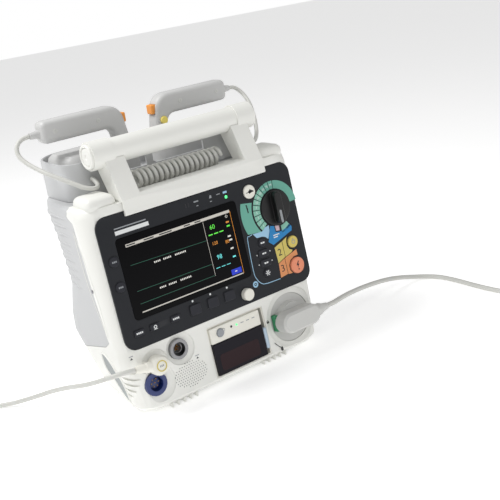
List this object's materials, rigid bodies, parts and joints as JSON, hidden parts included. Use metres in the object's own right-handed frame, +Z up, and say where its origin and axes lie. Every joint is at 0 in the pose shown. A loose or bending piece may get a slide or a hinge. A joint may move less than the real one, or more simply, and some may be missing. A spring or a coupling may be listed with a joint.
{
  "type": "defibrillator",
  "caption": "Portable defibrillator and monitor with a tilted control panel, carry handle, front printer, two hand paddles in a top tray and plugged-in leads.",
  "frame": {"origin": "centre of the footprint box on the surface it stands on, measured without the free leads", "axes": "+Z up, the control panel faces -Y, +X to the right as seen by the user"},
  "size_m": [0.938, 0.4039, 0.358],
  "materials": {
    "casing_white": "fine satin moulded plastic",
    "rear_grey": "fine matt moulded plastic",
    "paddle_grey": "satin moulded plastic",
    "panel_black": "fine matt printed overlay",
    "window_glass": "glossy clear window over a dark screen",
    "key_grey": "matt silicone rubber",
    "knob_black": "semi-gloss moulded plastic",
    "cream_plastic": "satin moulded plastic",
    "shock_orange": "satin coloured plastic",
    "charge_yellow": "satin coloured plastic",
    "release_green": "satin coloured plastic",
    "socket_navy": "semi-gloss moulded plastic",
    "socket_metal": "satin metal",
    "electrode_steel": "brushed plate",
    "printer_smoke": "dark smoked clear plastic",
    "latch_blue": "satin moulded plastic",
    "circuit_board": "solder-masked laminate",
    "battery_cell": "shrink-wrapped pack",
    "paper": "thermal paper",
    "rubber_dark": "matt rubber",
    "lead_grey": "smooth flexible jacket"
  },
  "bodies": {
    "root": {"base_foot": "rubber_dark", "battery_pack": "battery_cell", "blue_socket": "socket_navy", "control_panel": "panel_black", "curly_cord": "lead_grey", "display_window": "window_glass", "ecg_coil": "lead_grey", "ecg_lead": "lead_grey", "ecg_plug": "cream_plastic", "ecg_yoke": "paddle_grey", "front_casing": "casing_white", "grey_socket": "socket_metal", "handle_frame": "casing_white", "handle_tube": "casing_white", "hv_capacitor": "socket_metal", "lcd_module": "socket_metal", "left_paddle_lead": "lead_grey", "main_board": "circuit_board", "paddle_tray": "rear_grey", "pads_connector": "paddle_grey", "power_board": "circuit_board", "printer_fascia": "cream_plastic", "printer_housing": "cream_plastic", "rear_casing": "rear_grey", "right_paddle_lead": "lead_grey", "speaker": "rubber_dark", "therapy_coil": "lead_grey", "therapy_lead": "lead_grey", "therapy_plug": "paddle_grey", "therapy_socket": "paddle_grey"},
    "sync_key": {"sync_key": "cream_plastic"},
    "charge_key": {"charge_key": "charge_yellow"},
    "shock_key": {"shock_key": "shock_orange"},
    "soft_key_1": {"soft_key_1": "key_grey"},
    "soft_key_2": {"soft_key_2": "key_grey"},
    "soft_key_3": {"soft_key_3": "key_grey"},
    "menu_key_1": {"menu_key_1": "key_grey"},
    "menu_key_2": {"menu_key_2": "key_grey"},
    "menu_key_3": {"menu_key_3": "key_grey"},
    "side_key_1": {"side_key_1": "key_grey"},
    "side_key_2": {"side_key_2": "key_grey"},
    "pad_key_1": {"pad_key_1": "key_grey"},
    "pad_key_2": {"pad_key_2": "key_grey"},
    "pad_key_3": {"pad_key_3": "key_grey"},
    "pad_key_4": {"pad_key_4": "key_grey"},
    "print_key": {"print_key": "key_grey"},
    "therapy_release": {"therapy_release": "release_green"},
    "energy_dial": {"energy_dial": "knob_black"},
    "jog_knob": {"jog_knob": "cream_plastic"},
    "printer_door": {"printer_door": "printer_smoke"},
    "printer_latch": {"printer_latch": "latch_blue"},
    "paper_roll": {"paper_roll": "paper"},
    "platen_roller": {"platen_roller": "rubber_dark"},
    "left_paddle": {"left_paddle": "paddle_grey", "left_electrode": "electrode_steel"},
    "left_shock_key": {"left_shock_key": "shock_orange"},
    "right_paddle": {"right_paddle": "paddle_grey", "right_electrode": "electrode_steel"},
    "right_shock_key": {"right_shock_key": "shock_orange"},
    "paddle_charge_key": {"paddle_charge_key": "charge_yellow"}
  },
  "joints": [
    {"name": "sync_key_press", "type": "slide", "parent": "root", "child": "sync_key", "axis": [0, 0.9903, -0.1392], "range_m": [0, 0.0015], "stiffness_N_per_m": 600},
    {"name": "charge_key_press", "type": "slide", "parent": "root", "child": "charge_key", "axis": [0, 0.9903, -0.1392], "range_m": [0, 0.0015], "stiffness_N_per_m": 600},
    {"name": "shock_key_press", "type": "slide", "parent": "root", "child": "shock_key", "axis": [0, 0.9903, -0.1392], "range_m": [0, 0.0015], "stiffness_N_per_m": 600},
    {"name": "soft_key_1_press", "type": "slide", "parent": "root", "child": "soft_key_1", "axis": [0, 0.9903, -0.1392], "range_m": [0, 0.001], "stiffness_N_per_m": 600},
    {"name": "soft_key_2_press", "type": "slide", "parent": "root", "child": "soft_key_2", "axis": [0, 0.9903, -0.1392], "range_m": [0, 0.001], "stiffness_N_per_m": 600},
    {"name": "soft_key_3_press", "type": "slide", "parent": "root", "child": "soft_key_3", "axis": [0, 0.9903, -0.1392], "range_m": [0, 0.001], "stiffness_N_per_m": 600},
    {"name": "menu_key_1_press", "type": "slide", "parent": "root", "child": "menu_key_1", "axis": [0, 0.9903, -0.1392], "range_m": [0, 0.001], "stiffness_N_per_m": 600},
    {"name": "menu_key_2_press", "type": "slide", "parent": "root", "child": "menu_key_2", "axis": [0, 0.9903, -0.1392], "range_m": [0, 0.001], "stiffness_N_per_m": 600},
    {"name": "menu_key_3_press", "type": "slide", "parent": "root", "child": "menu_key_3", "axis": [0, 0.9903, -0.1392], "range_m": [0, 0.001], "stiffness_N_per_m": 600},
    {"name": "side_key_1_press", "type": "slide", "parent": "root", "child": "side_key_1", "axis": [0, 0.9903, -0.1392], "range_m": [0, 0.001], "stiffness_N_per_m": 600},
    {"name": "side_key_2_press", "type": "slide", "parent": "root", "child": "side_key_2", "axis": [0, 0.9903, -0.1392], "range_m": [0, 0.001], "stiffness_N_per_m": 600},
    {"name": "pad_key_1_press", "type": "slide", "parent": "root", "child": "pad_key_1", "axis": [0, 0.9903, -0.1392], "range_m": [0, 0.001], "stiffness_N_per_m": 600},
    {"name": "pad_key_2_press", "type": "slide", "parent": "root", "child": "pad_key_2", "axis": [0, 0.9903, -0.1392], "range_m": [0, 0.001], "stiffness_N_per_m": 600},
    {"name": "pad_key_3_press", "type": "slide", "parent": "root", "child": "pad_key_3", "axis": [0, 0.9903, -0.1392], "range_m": [0, 0.001], "stiffness_N_per_m": 600},
    {"name": "pad_key_4_press", "type": "slide", "parent": "root", "child": "pad_key_4", "axis": [0, 0.9903, -0.1392], "range_m": [0, 0.001], "stiffness_N_per_m": 600},
    {"name": "print_key_press", "type": "slide", "parent": "root", "child": "print_key", "axis": [0, 0.9903, -0.1392], "range_m": [0, 0.001], "stiffness_N_per_m": 600},
    {"name": "therapy_release_press", "type": "slide", "parent": "root", "child": "therapy_release", "axis": [0, 0.9903, -0.1392], "range_m": [0, 0.002], "stiffness_N_per_m": 600},
    {"name": "energy_dial_turn", "type": "hinge", "parent": "root", "child": "energy_dial", "pos_m": [0.111, -0.06988, 0.19613], "axis": [0, -0.9903, 0.1392], "range_deg": [-255, 30]},
    {"name": "jog_knob_turn", "type": "hinge", "parent": "root", "child": "jog_knob", "pos_m": [0.0365, -0.0831, 0.10206], "axis": [0, -0.9903, 0.1392], "continuous": true},
    {"name": "printer_door_open", "type": "hinge", "parent": "root", "child": "printer_door", "pos_m": [0, -0.09589, 0.01681], "axis": [1, 0, 0], "range_deg": [0, 95]},
    {"name": "printer_latch_slide", "type": "slide", "parent": "root", "child": "printer_latch", "axis": [0, 0.1392, 0.9903], "range_m": [0, 0.004], "stiffness_N_per_m": 150, "springref_m": -0.001},
    {"name": "paper_roll_turn", "type": "hinge", "parent": "root", "child": "paper_roll", "pos_m": [0.0071, -0.07332, 0.02797], "axis": [1, 0, 0], "continuous": true},
    {"name": "platen_roller_turn", "type": "hinge", "parent": "root", "child": "platen_roller", "pos_m": [0.0071, -0.08122, 0.05079], "axis": [1, 0, 0], "continuous": true},
    {"name": "left_paddle_lift", "type": "slide", "parent": "root", "child": "left_paddle", "axis": [0, 0, 1], "range_m": [0, 0.06]},
    {"name": "left_shock_key_press", "type": "slide", "parent": "left_paddle", "child": "left_shock_key", "axis": [-1, 0, 0], "range_m": [0, 0.002], "stiffness_N_per_m": 600},
    {"name": "right_paddle_lift", "type": "slide", "parent": "root", "child": "right_paddle", "axis": [0, 0, 1], "range_m": [0, 0.06]},
    {"name": "right_shock_key_press", "type": "slide", "parent": "right_paddle", "child": "right_shock_key", "axis": [1, 0, 0], "range_m": [0, 0.002], "stiffness_N_per_m": 600},
    {"name": "paddle_charge_key_press", "type": "slide", "parent": "right_paddle", "child": "paddle_charge_key", "axis": [0, 1, 0], "range_m": [0, 0.0015], "stiffness_N_per_m": 600}
  ]
}
